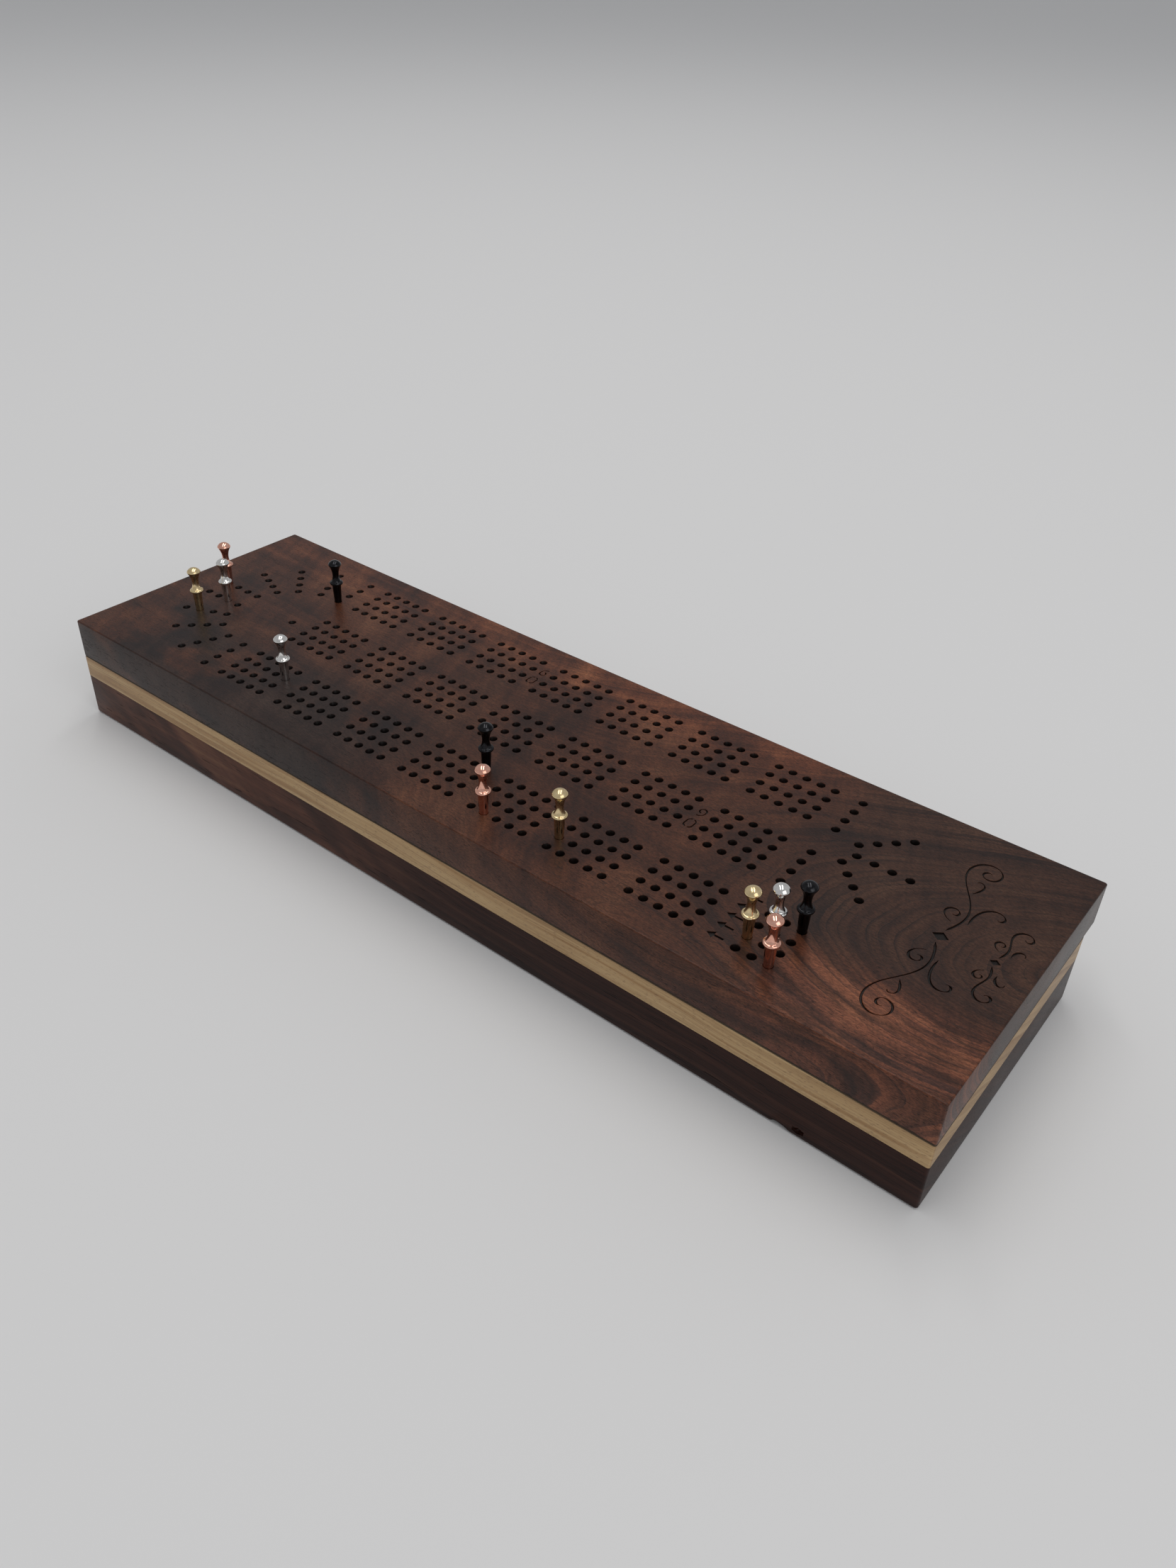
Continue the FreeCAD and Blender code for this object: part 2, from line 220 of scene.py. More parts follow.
def pocket_outline(x, half, grow=0.0, corner_steps=8):
    """Anticlockwise outline of a storage pocket."""
    length, width = half
    points = []
    for index, (sx, sy) in enumerate(((-1, -1), (1, -1), (1, 1), (-1, 1))):
        centre = (x + sx * (length - POCKET_CORNER), BOX_MID_Y + sy * (width - POCKET_CORNER))
        start = 180 + 90 * index
        points += arc_points(centre, POCKET_CORNER + grow, start, start + 90, corner_steps)
    return points


# =============================== mesh building ================================================
def new_piece(name, bm, material, body, replaced=()):
    """Turn a bmesh in millimetres into a piece that rides on a body."""
    bmesh.ops.scale(bm, vec=(MM, MM, MM), verts=bm.verts)
    mesh = bpy.data.meshes.new(name)
    bm.to_mesh(mesh)
    bm.free()
    piece = bpy.data.objects.new(name, mesh)
    bpy.context.scene.collection.objects.link(piece)
    mesh.materials.append(material)
    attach(piece, body)
    if replaced:
        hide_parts(*replaced)
    return piece


def ring(bm, outline, z):
    return [bm.verts.new((x, y, z)) for x, y in outline]


def skin(bm, upper, lower, smooth=True):
    """Faces between two rings of the same length; both anticlockwise seen from above."""
    count = len(upper)
    for i in range(count):
        j = (i + 1) % count
        face = bm.faces.new((upper[i], lower[i], lower[j], upper[j]))
        face.smooth = smooth


def hole_skin(bm, upper, lower, smooth=True):
    """As skin, for the wall of a hole, which faces inwards."""
    skin(bm, upper[::-1], lower[::-1], smooth)


def sharpen(ring_verts):
    """Keep the edge along a ring crisp, so that the flat face inside it stays flat."""
    count = len(ring_verts)
    for i in range(count):
        for edge in ring_verts[i].link_edges:
            if edge.other_vert(ring_verts[i]) is ring_verts[(i + 1) % count]:
                edge.smooth = False


def inside(point, outline):
    """Whether a point is inside a closed outline."""
    x, y = point
    found = False
    for i, (x1, y1) in enumerate(outline):
        x0, y0 = outline[i - 1]
        if (y0 > y) != (y1 > y) and x < (x1 - x0) * (y - y0) / (y1 - y0) + x0:
            found = not found
    return found


def flat_face(bm, outer, holes, up=True):
    """Triangulated flat face inside a ring of vertices, with rings of vertices left open as holes."""
    rings = [outer] + list(holes)
    verts = [v for one in rings for v in one]
    owner = [k for k, one in enumerate(rings) for v in one]
    outlines = [[(v.co.x, v.co.y) for v in one] for one in rings]
    edges = []
    start = 0
    for one in rings:
        edges += [(start + i, start + (i + 1) % len(one)) for i in range(len(one))]
        start += len(one)
    points = [Vector((v.co.x, v.co.y)) for v in verts]
    _, _, faces, sources, _, _ = delaunay_2d_cdt(points, edges, [], 0, 1e-7)
    for face in faces:
        corners = [sources[i][0] for i in face]
        middle = sum((points[i] for i in corners), Vector((0, 0))) / 3
        owners = {owner[i] for i in corners}
        if len(owners) == 1:
            k = owners.pop()
            if inside(middle, outlines[k]) != (k == 0):
                continue
        triangle = [verts[i] for i in corners]
        area = (points[corners[1]] - points[corners[0]]).cross(points[corners[2]] - points[corners[0]])
        if (area > 0) != up:
            triangle.reverse()
        bm.faces.new(triangle).smooth = False
    for one in rings:
        sharpen(one)


def eased_ring_stack(bm, outline_at, z_top, z_bottom, top_ease, bottom_ease, steps=4):
    """Side of a slab with rounded top and bottom edges; returns its top and bottom rings."""
    rings = []
    for i in range(steps + 1):
        angle = math.pi / 2 * i / steps
        inset = top_ease * (1 - math.sin(angle))
        rings.append(ring(bm, outline_at(inset), z_top - top_ease * (1 - math.cos(angle))))
    for i in range(steps + 1):
        angle = math.pi / 2 * i / steps
        inset = bottom_ease * (1 - math.cos(angle))
        rings.append(ring(bm, outline_at(inset), z_bottom + bottom_ease * (1 - math.sin(angle))))
    for upper, lower in zip(rings, rings[1:]):
        skin(bm, upper, lower)
    return rings[0], rings[-1]


def blind_hole(bm, outline_at, ease, z, depth, direction=-1):
    """Hole with an eased mouth and a flat floor, cut down (-1) or up (1) from height z."""
    mouth = ring(bm, outline_at(ease), z)
    lip = ring(bm, outline_at(0.0), z + direction * ease)
    floor = ring(bm, outline_at(0.0), z + direction * depth)
    join = hole_skin if direction < 0 else skin
    join(bm, mouth, lip)
    join(bm, lip, floor)
    sharpen(floor)
    base = floor if direction < 0 else floor[::-1]
    bm.faces.new(base).smooth = False
    return mouth


def through_hole(bm, outline_at, ease, z_top, z_bottom):
    """Opening right through a slab; returns its top and bottom mouths."""
    rings = [ring(bm, outline_at(ease), z_top), ring(bm, outline_at(0.0), z_top - ease),
             ring(bm, outline_at(0.0), z_bottom)]
    for upper, lower in zip(rings, rings[1:]):
        hole_skin(bm, upper, lower)
    return rings[0], rings[-1]


# =============================== peg hole places ==============================================
def track_offset(track):
    """Distance of a track from the middle of its leg; track 0 is the outermost."""
    return (track - (TRACKS - 1) / 2) * TRACK


def column(x, leg_y):
    return [(x, leg_y + track_offset(track)) for track in range(TRACKS)]


def big_turn_hole(line, side, track):
    at, lean = (math.radians(a) for a in BIG_TURN_LINES[line])
    out = (TRACKS - 1 - track) * TRACK
    x = LEFT_COLUMN - TURN_GAP - BIG_TURN_RADIUS * math.cos(at)
    y = BIG_TURN_RADIUS * math.sin(at)
    return (x - out * math.cos(lean), side * (y + out * math.sin(lean)))


def small_turn_hole(angle, track):
    radius = LEG / 2 + track_offset(track)
    turn = math.radians(angle)
    return (RIGHT_COLUMN + TURN_GAP + radius * math.cos(turn), LEG / 2 + radius * math.sin(turn))


def hole_places():
    places = []
    for leg_y in (-LEG, 0.0, LEG):
        for group in range(GROUPS):
            for place in range(PER_GROUP):
                places += column(FIRST_X + group * GROUP + place * PITCH, leg_y)
    places += column(LEFT_COLUMN, -LEG) + column(LEFT_COLUMN, LEG)
    places += column(RIGHT_COLUMN, 0.0) + column(RIGHT_COLUMN, LEG)
    for line in range(len(BIG_TURN_LINES)):
        for side in (-1, 1):
            places += [big_turn_hole(line, side, track) for track in range(TRACKS)]
    for angle in SMALL_TURN_ANGLES:
        places += [small_turn_hole(angle, track) for track in range(TRACKS)]
    for step in range(START_COLUMNS):
        places += column(START_X + step * PITCH, -LEG)
    places.append((LEFT_COLUMN, 0.0))
    return places


# =============================== engraved marks ===============================================
def pen_line(start, heading, runs):
    """Points (x, y, angle) along a stroke whose curvature changes evenly over each run."""
    x, y = start
    angle = math.radians(heading)
    points = [(x, y, angle)]
    for length, bend_in, bend_out in runs:
        count = max(2, round(length / PEN_STEP))
        step = length / count
        for i in range(count):
            bend = bend_in + (bend_out - bend_in) * (i + 0.5) / count
            angle += bend * step / 2
            x += step * math.cos(angle)
            y += step * math.sin(angle)
            angle += bend * step / 2
            points.append((x, y, angle))
    return points


def pen_width(i, count, angle, pen):
    """Width of a broad-nib stroke: it depends on the direction and fades at both ends."""
    thin, thick, fade_points = pen
    nib = abs(math.sin(angle - math.radians(PEN_ANGLE))) ** 1.5
    fade = min(1.0, (i + 1) / fade_points, (count - i) / fade_points)
    return max(thin * 0.8, (thin + (thick - thin) * nib) * fade)


def stroke_sides(points, pen, share):
    """The two sides of a stroke, drawn in to a share of its width."""
    left = []
    right = []
    for i, (x, y, angle) in enumerate(points):
        half = share * pen_width(i, len(points), angle, pen) / 2
        left.append((x - math.sin(angle) * half, y + math.cos(angle) * half))
        right.append((x + math.sin(angle) * half, y - math.cos(angle) * half))
    return left, right


def lay_out(outline, centre, turned=False, mirrored=False, half_turn=False):
    """Place an outline at its centre; turned marks read along +Y with their tops towards -X."""
    placed = []
    for x, y in outline:
        if mirrored:
            x = -x
        if half_turn:
            x, y = -x, -y
        if turned:
            x, y = -y, x
        placed.append((centre[0] + x, centre[1] + y))
    return placed


def anticlockwise(outline):
    area = sum(outline[i - 1][0] * outline[i][1] - outline[i][0] * outline[i - 1][1]
               for i in range(len(outline)))
    return area > 0


def stroke_marks():
    """Every pen stroke as (points, pen, placing arguments)."""
    marks = []
    for centre_x, strokes in ((BIG_ORNAMENT_X, BIG_STROKES), (SMALL_ORNAMENT_X, SMALL_STROKES)):
        for stroke in strokes:
            for mirrored in (False, True):
                marks.append((pen_line(*stroke), FLOURISH_PEN, ((centre_x, 0.0), True, mirrored)))
    for (x, y), turned_over in ((MARK_60, False), (MARK_90, True)):
        placing = ((x, y + DIGIT_STEP), False, False, turned_over)
        marks.append((pen_line(*SIX_STROKE), DIGIT_PEN, placing))
        for mirrored in (False, True):
            marks.append((pen_line(*ZERO_STROKE), DIGIT_PEN, ((x, y - DIGIT_STEP), False, mirrored)))
    return marks


def engrave_stroke(bm, points, pen, placing):
    """Groove with sloping walls along a pen stroke; returns its ring at the surface."""
    left, right = stroke_sides(points, pen, 1.0)
    low_left, low_right = stroke_sides(points, pen, CUT_FLOOR)
    mouth = lay_out(left + right[::-1], *placing)
    floor = lay_out(low_left + low_right[::-1], *placing)
    if not anticlockwise(mouth):
        mouth.reverse()
        floor.reverse()
    upper = ring(bm, mouth, TOP_Z)
    lower = ring(bm, floor, TOP_Z - CUT)
    hole_skin(bm, upper, lower, smooth=False)
    count = len(lower)
    for i in range(count // 2 - 1):
        bm.faces.new((lower[i], lower[i + 1], lower[count - 2 - i], lower[count - 1 - i]))
    return upper


def engrave_polygon(bm, outline, placing):
    """Flat-bottomed mark with upright walls."""
    mouth = lay_out(outline, *placing)
    if not anticlockwise(mouth):
        mouth.reverse()
    upper = ring(bm, mouth, TOP_Z)
    lower = ring(bm, mouth, TOP_Z - CUT)
    hole_skin(bm, upper, lower, smooth=False)
    flat_face(bm, lower, [])
    return upper


def engrave_all(bm):
    mouths = [engrave_stroke(bm, *mark) for mark in stroke_marks()]
    for i in range(ARROWS):
        mouths.append(engrave_polygon(bm, ARROW, ((ARROW_X, ARROW_FIRST_Y + i * ARROW_STEP), True)))
    for centre_x, size in ((BIG_ORNAMENT_X, BIG_DIAMOND), (SMALL_ORNAMENT_X, SMALL_DIAMOND)):
        tall = size * DIAMOND_SLANT
        lozenge = ((size, 0.0), (0.0, tall), (-size, 0.0), (0.0, -tall))
        mouths.append(engrave_polygon(bm, lozenge, ((centre_x, 0.0), True)))
    return mouths


# =============================== node helpers =================================================
def put(tree, kind, inputs=None, **settings):
    node = tree.nodes.new("ShaderNode" + kind)
    for key, value in settings.items():
        setattr(node, key, value)
    for key, value in (inputs or {}).items():
        feed(tree, node.inputs[key], value)
    return node


def feed(tree, socket, value):
    if isinstance(value, bpy.types.NodeSocket):
        tree.links.new(value, socket)
    else:
        socket.default_value = value


def calc(tree, operation, *values):
    node = put(tree, "Math", operation=operation)
    for socket, value in zip(node.inputs, values):
        feed(tree, socket, value)
    return node.outputs[0]


def add(tree, a, b):
    return calc(tree, "ADD", a, b)


def minus(tree, a, b):
    return calc(tree, "SUBTRACT", a, b)


def times(tree, a, b):
    return calc(tree, "MULTIPLY", a, b)


def step_between(tree, value, low, high, to_low=0.0, to_high=1.0):
    """Smooth step of a value from low to high."""
    node = put(tree, "MapRange", interpolation_type="SMOOTHSTEP")
    for key, number in (("Value", value), ("From Min", low), ("From Max", high),
                        ("To Min", to_low), ("To Max", to_high)):
        feed(tree, node.inputs[key], number)
    return node.outputs["Result"]


def blend_colour(tree, factor, a, b, how="MIX"):
    node = put(tree, "Mix", data_type="RGBA", blend_type=how)
    feed(tree, node.inputs[0], factor)
    feed(tree, node.inputs[6], a)
    feed(tree, node.inputs[7], b)
    return node.outputs[2]


def vector(tree, x, y, z):
    return put(tree, "CombineXYZ", {"X": x, "Y": y, "Z": z}).outputs[0]


def grain(tree, vec, scale, detail=2.0, rough=0.5, lacunarity=2.0):
    node = put(tree, "TexNoise", {"Vector": vec, "Scale": scale, "Detail": detail,
                                  "Roughness": rough, "Lacunarity": lacunarity})
    return node.outputs["Fac"]


def line_noise(tree, along, scale, detail=1.0):
    node = put(tree, "TexNoise", {"W": along, "Scale": scale, "Detail": detail},
               noise_dimensions="1D")
    return node.outputs["Fac"]


def ramp(tree, factor, stops):
    node = put(tree, "ValToRGB", {"Fac": factor})
    elements = node.color_ramp.elements
    while len(elements) < len(stops):
        elements.new(0.5)
    for element, (at, colour) in zip(elements, stops):
        element.position = at
        element.color = (*colour, 1.0)
    return node.outputs["Color"]


def material_tree(name):
    material = bpy.data.materials.new(name)
    material.use_nodes = True
    tree = material.node_tree
    return material, tree, tree.nodes["Principled BSDF"]


def place_in_mm(tree):
    """The point's x, y and z in the row frame, in millimetres, and the raw vector."""
    coords = put(tree, "TexCoord").outputs["Object"]
    split = put(tree, "SeparateXYZ", {"Vector": coords})
    return [times(tree, split.outputs[i], 1 / MM) for i in range(3)] + [coords]


# =============================== wood =========================================================
def swell(tree, value, low, high):
    """0 below low, 1 above high, smooth between; low may be above high."""
    return step_between(tree, value, low, high)


def window(tree, value, low, high, fade):
    """1 between low and high, fading to 0 over a distance outside them."""
    rise = swell(tree, value, low - fade, low)
    fall = swell(tree, value, high + fade, high)
    return times(tree, rise, fall)


def lid_rings(tree, x, y, z, coords):
    """Growth-ring radius: the heart dips under the board and comes up near its right end."""
    away = minus(tree, 206.0, x)
    gone = calc(tree, "EXPONENT", times(tree, away, -1 / 92.0))
    depth = times(tree, minus(tree, 1.0, gone), 46.0)
    height = minus(tree, add(tree, depth, z), TOP_Z)
    bent = calc(tree, "EXPONENT", times(tree, away, -1 / 70.0))
    veer = times(tree, minus(tree, 1.0, bent), 24.0)
    side = times(tree, add(tree, minus(tree, y, 6.0), veer), 0.56)
    square = add(tree, times(tree, height, height), times(tree, side, side))
    radius = calc(tree, "SQRT", square)
    rift = swell(tree, x, 120.0, -70.0)
    slope = add(tree, times(tree, y, 0.85), times(tree, x, 0.055))
    radius = add(tree, radius, times(tree, rift, slope))
    broad = minus(tree, grain(tree, stretched(tree, coords, 9.0, 24.0, 20.0), 1.0, 2.0), 0.5)
    middling = minus(tree, grain(tree, stretched(tree, coords, 30.0, 90.0, 80.0), 1.0, 2.0), 0.5)
    calm = step_between(tree, x, 60.0, 135.0, 15.0, 3.5)
    radius = add(tree, radius, times(tree, broad, calm))
    ripple = step_between(tree, x, 60.0, 135.0, 3.4, 1.1)
    return add(tree, radius, times(tree, middling, ripple))


def stretched(tree, coords, x_scale, y_scale, z_scale):
    node = put(tree, "VectorMath", {0: coords, 1: (x_scale, y_scale, z_scale)}, operation="MULTIPLY")
    return node.outputs[0]


def pores(tree, x, y, z, rings, long=7.0, thin=0.42):
    """Short dark dashes along the grain, gathered where the rings are open."""
    bend = times(tree, rings, 0.35)
    vec = vector(tree, times(tree, x, 1 / long), times(tree, add(tree, y, bend), 1 / thin),
                 times(tree, z, 1 / thin))
    dash = grain(tree, vec, 1.0, 1.0)
    crowd = line_noise(tree, times(tree, rings, 0.21), 1.0, 1.0)
    limit = calc(tree, "MULTIPLY_ADD", crowd, -0.20, 0.755)
    return swell(tree, minus(tree, dash, limit), 0.0, 0.07)


def paint_joint_shade(tree, colour, x, y, near_joint, half_width, mid_y):
    """Painted shade: darkens the eased outer edge along the joint under the lid, as the shadow in the gap
    there.
    """
    past_x = minus(tree, calc(tree, "ABSOLUTE", x), HALF_LENGTH)
    past_y = minus(tree, calc(tree, "ABSOLUTE", minus(tree, y, mid_y)), half_width)
    rim = swell(tree, calc(tree, "MAXIMUM", past_x, past_y), -0.50, -0.40)
    joint_shade = times(tree, times(tree, rim, near_joint), 0.85)
    return blend_colour(tree, joint_shade, colour, (0.010, 0.0060, 0.0045, 1.0))


def end_dark(tree, colour, x, share, tint):
    """The end grain takes up more oil, so both end faces are darker."""
    end = swell(tree, calc(tree, "ABSOLUTE", x), HALF_LENGTH - 0.4, HALF_LENGTH - 0.1)
    return blend_colour(tree, times(tree, end, share), colour, (*tint, 1.0), "MULTIPLY")


def finish_wood(tree, shader, colour, rough, height, depth_mm):
    feed(tree, shader.inputs["Base Color"], colour)
    feed(tree, shader.inputs["Roughness"], rough)
    bump = put(tree, "Bump", {"Strength": 1.0, "Distance": depth_mm * MM, "Height": height})
    feed(tree, shader.inputs["Normal"], bump.outputs["Normal"])


def walnut_lid():
    material, tree, shader = material_tree("walnut_lid")
    x, y, z, coords = place_in_mm(tree)
    rings = lid_rings(tree, x, y, z, coords)
    slow = line_noise(tree, times(tree, rings, 0.17), 1.0, 2.5)
    fine = grain(tree, vector(tree, times(tree, x, 0.011), times(tree, rings, 1.15), 0.0), 1.0, 3.0, 0.6)
    hair = grain(tree, vector(tree, times(tree, x, 0.05), times(tree, rings, 5.0), 0.0), 1.0, 2.0, 0.6)
    mixed = add(tree, add(tree, times(tree, slow, 0.50), times(tree, fine, 0.36)), times(tree, hair, 0.14))
    lined = step_between(tree, x, -40.0, 135.0, 0.36, 0.70)
    mixed = calc(tree, "MULTIPLY_ADD", minus(tree, mixed, 0.52), lined, 0.53)
    blot = grain(tree, stretched(tree, coords, 22.0, 34.0, 34.0), 1.0, 2.5, 0.55)
    lean = add(tree, times(tree, x, 0.075), times(tree, y, 0.030))
    curl = grain(tree, vector(tree, lean, times(tree, y, 0.022), times(tree, z, 0.03)), 1.0, 2.0)
    quick = add(tree, times(tree, x, 0.24), times(tree, y, 0.11))
    ripples = grain(tree, vector(tree, quick, times(tree, y, 0.06), times(tree, z, 0.08)), 1.0, 2.0)
    waves = add(tree, times(tree, curl, 0.30), times(tree, ripples, 0.20))
    soft = add(tree, times(tree, blot, 0.50), waves)
    soft = times(tree, minus(tree, soft, 0.5), minus(tree, 1.12, lined))
    mixed = calc(tree, "MULTIPLY_ADD", soft, 1.45, mixed)
    colour = ramp(tree, mixed, ((0.30, (0.015, 0.0056, 0.0042)), (0.43, (0.043, 0.0142, 0.0078)),
                                (0.52, (0.074, 0.0245, 0.0120)), (0.62, (0.106, 0.0385, 0.0185)),
                                (0.76, (0.150, 0.0620, 0.0310))))
    uneven = line_noise(tree, times(tree, rings, 0.33), 1.0, 1.0)
    year = add(tree, times(tree, rings, 0.56), times(tree, uneven, 2.6))
    year = calc(tree, "FRACT", year)
    line = times(tree, calc(tree, "POWER", year, 4.0), swell(tree, year, 1.0, 0.96))
    strength = step_between(tree, x, 70.0, 140.0, 0.28, 0.85)
    patchy = swell(tree, grain(tree, stretched(tree, coords, 14.0, 40.0, 40.0), 1.0), 0.30, 0.60)
    line = times(tree, times(tree, line, strength), calc(tree, "MULTIPLY_ADD", patchy, 0.7, 0.3))
    colour = blend_colour(tree, line, colour, (0.012, 0.0060, 0.0052, 1.0))

    cloud = grain(tree, stretched(tree, coords, 20.0, 34.0, 34.0), 1.0, 3.0)
    front = swell(tree, add(tree, y, times(tree, blot, 40.0)), 22.0, -12.0)
    cold = times(tree, window(tree, x, -230.0, -52.0, 50.0), front)
    cold = times(tree, cold, swell(tree, cloud, 0.38, 0.50))
    colour = blend_colour(tree, times(tree, cold, 0.92), colour, (0.30, 0.44, 0.70, 1.0), "MULTIPLY")
    grey = times(tree, swell(tree, x, 92.0, 140.0), swell(tree, y, -34.0, -20.0))
    colour = blend_colour(tree, grey, colour, (0.66, 0.82, 1.0, 1.0), "MULTIPLY")
    back = times(tree, swell(tree, y, 20.0, 50.0), swell(tree, x, 130.0, 90.0))
    colour = blend_colour(tree, back, colour, (1.32, 1.22, 1.15, 1.0), "MULTIPLY")
    edge = add(tree, y, times(tree, minus(tree, cloud, 0.5), 26.0))
    sap = times(tree, window(tree, x, -52.0, 78.0, 40.0), swell(tree, edge, 41.0, 47.0))
    colour = blend_colour(tree, times(tree, sap, 0.7), colour, (1.5, 1.5, 1.45, 1.0), "MULTIPLY")
    warm = times(tree, window(tree, x, 150.0, 230.0, 28.0), swell(tree, y, -26.0, -38.0))
    vec = vector(tree, times(tree, x, 0.055), times(tree, rings, 0.55), times(tree, x, 0.021))
    flame = grain(tree, vec, 1.0, 3.0, 0.65)
    warm = times(tree, warm, swell(tree, flame, 0.34, 0.62))
    colour = blend_colour(tree, warm, colour, (2.35, 2.35, 2.4, 1.0), "MULTIPLY")
    vec = vector(tree, times(tree, x, 0.085), times(tree, y, 0.012), times(tree, z, 0.02))
    bands = grain(tree, vec, 1.0, 2.0)
    bands = times(tree, swell(tree, bands, 0.34, 0.66), window(tree, x, -76.0, 2.0, 30.0))
    colour = blend_colour(tree, times(tree, bands, 0.6), colour, (0.50, 0.54, 0.62, 1.0), "MULTIPLY")

    fleck = pores(tree, x, y, z, rings)
    short = pores(tree, x, y, z, rings, 1.7, 0.40)
    fleck = calc(tree, "MAXIMUM", times(tree, fleck, 0.8), short)
    colour = blend_colour(tree, times(tree, fleck, 0.62), colour, (0.007, 0.0040, 0.0036, 1.0))
    vec = vector(tree, times(tree, x, 0.9), times(tree, y, 2.6), times(tree, z, 2.6))
    speck = grain(tree, vec, 1.0, 2.0, 0.7)
    speck = step_between(tree, speck, 0.34, 0.66, 0.66, 1.32)
    colour = blend_colour(tree, 1.0, colour, vector(tree, speck, speck, speck), "MULTIPLY")
    # Charred engraving floors, and painted shade inside the drilled holes.
    colour = scorch_and_shade_holes(tree, colour, x, y, z)
    # Painted shade along the lid's lower outer edge, at the joint with the band.
    low_edge = swell(tree, z, LID_LOW.z + 0.62, LID_LOW.z + 0.40)
    colour = paint_joint_shade(tree, colour, x, y, low_edge, HALF_WIDTH, 0.0)
    colour = end_dark(tree, colour, x, 0.45, (0.55, 0.52, 0.5))
    rough = calc(tree, "MULTIPLY_ADD", cloud, 0.10, 0.30)
    rough = add(tree, rough, times(tree, fleck, 0.22))
    height = minus(tree, times(tree, hair, 0.25), fleck)
    finish_wood(tree, shader, colour, rough, height, 0.035)
    shader.inputs["Specular IOR Level"].default_value = 0.23
    return material


def scorch_and_shade_holes(tree, colour, x, y, z):
    """Engraved floors are charred nearly black; painted shade darkens the drilled holes inside, fading with
    depth.
    """
    # One mask: the charring of the engraved floors and the painted shade inside the drilled holes.
    burn_and_hole_shade = times(tree, swell(tree, z, TOP_Z - 0.10, TOP_Z - 0.32),
                  swell(tree, z, LID_LOW.z, TOP_Z - 0.9))
    inner = times(tree, window(tree, x, 1 - HALF_LENGTH, HALF_LENGTH - 1, 0.2),
                  window(tree, y, 1 - HALF_WIDTH, HALF_WIDTH - 1 - BACK_BOW, 0.2))
    burn_and_hole_shade = times(tree, times(tree, burn_and_hole_shade, inner), 0.92)
    return blend_colour(tree, burn_and_hole_shade, colour, (0.0030, 0.0020, 0.0018, 1.0))


def straight_rings(tree, y, z, coords, tilt_y, tilt_z, wave):
    """Rings of a plainly sawn piece, with a gentle wave along its length."""
    broad = minus(tree, grain(tree, stretched(tree, coords, 7.0, 22.0, 22.0), 1.0, 2.0), 0.5)
    flat = add(tree, times(tree, y, tilt_y), times(tree, z, tilt_z))
    return add(tree, flat, times(tree, broad, wave))


def maple_band():
    material, tree, shader = material_tree("maple_band")
    x, y, z, coords = place_in_mm(tree)
    rings = straight_rings(tree, y, z, coords, 0.45, 0.9, 9.0)
    slow = line_noise(tree, times(tree, rings, 0.34), 1.0, 2.0)
    fine = grain(tree, vector(tree, times(tree, x, 0.010), times(tree, rings, 1.7), 0.0), 1.0, 3.0, 0.6)
    cloud = grain(tree, stretched(tree, coords, 22.0, 50.0, 50.0), 1.0, 2.0)
    mixed = add(tree, add(tree, times(tree, slow, 0.40), times(tree, fine, 0.36)), times(tree, cloud, 0.24))
    colour = ramp(tree, mixed, ((0.32, (0.270, 0.158, 0.070)), (0.46, (0.430, 0.278, 0.132)),
                                (0.58, (0.530, 0.365, 0.186)), (0.72, (0.620, 0.455, 0.255))))
    streak = grain(tree, vector(tree, times(tree, x, 0.012), times(tree, rings, 0.42), 5.0), 1.0, 2.0)
    browner = swell(tree, add(tree, streak, step_between(tree, x, -110.0, -40.0, 0.10, 0.0)), 0.50, 0.66)
    colour = blend_colour(tree, times(tree, browner, 0.8), colour, (0.74, 0.64, 0.54, 1.0), "MULTIPLY")
    vec = vector(tree, times(tree, x, 0.55), times(tree, y, 2.4), times(tree, z, 2.4))
    fleck = swell(tree, grain(tree, vec, 1.0, 1.0), 0.60, 0.72)
    colour = blend_colour(tree, times(tree, fleck, 0.45), colour, (0.150, 0.076, 0.038, 1.0))
    vein = grain(tree, vector(tree, times(tree, x, 0.030), times(tree, rings, 2.6), 9.0), 1.0, 2.0)
    vein = times(tree, swell(tree, vein, 0.56, 0.66), step_between(tree, x, -120.0, 60.0, 0.55, 0.22))
    colour = blend_colour(tree, vein, colour, (0.160, 0.080, 0.040, 1.0))
    colour = end_dark(tree, colour, x, 0.5, (0.62, 0.56, 0.50))
    # Painted shade along the band's upper outer edge, at the joint under the lid.
    top_edge = swell(tree, z, BAND_HIGH.z - 0.62, BAND_HIGH.z - 0.34)
    colour = paint_joint_shade(tree, colour, x, y, top_edge, (BAND_HIGH.y - BAND_LOW.y) / 2, BOX_MID_Y)
    rough = calc(tree, "MULTIPLY_ADD", cloud, 0.10, 0.36)
    height = minus(tree, times(tree, fine, 0.3), fleck)
    finish_wood(tree, shader, colour, rough, height, 0.02)
    shader.inputs["Specular IOR Level"].default_value = 0.34
    return material


